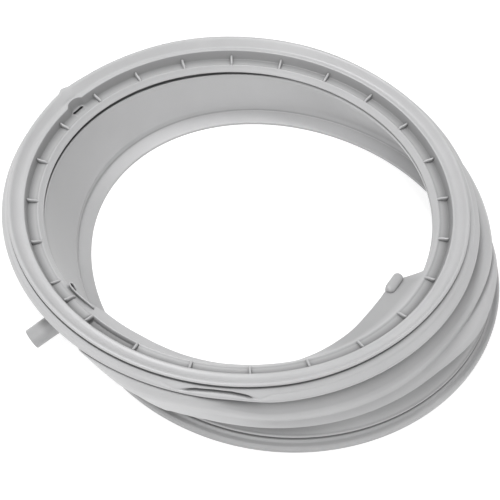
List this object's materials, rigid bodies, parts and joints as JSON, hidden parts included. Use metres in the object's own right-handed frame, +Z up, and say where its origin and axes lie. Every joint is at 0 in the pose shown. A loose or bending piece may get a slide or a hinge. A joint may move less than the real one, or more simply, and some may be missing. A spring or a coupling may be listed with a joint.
{
  "type": "washing machine door seal",
  "caption": "Grey rubber bellows seal for a porthole door: ribbed front channel with lip and flange, folded wall, rear clamp ring, spout and baffle with tab.",
  "frame": {"origin": "under the middle of the part's bounding box, on the plane that the rear ring stands on", "axes": "+Z up from the rear ring to the front lip, -Y the side that the drain spout leaves by, +X the right-hand side seen from the spout"},
  "size_m": [0.4098, 0.4098, 0.0765],
  "materials": {
    "rubber": "matte moulded grey"
  },
  "bodies": {
    "root": {"door_seal": "rubber"}
  },
  "joints": []
}
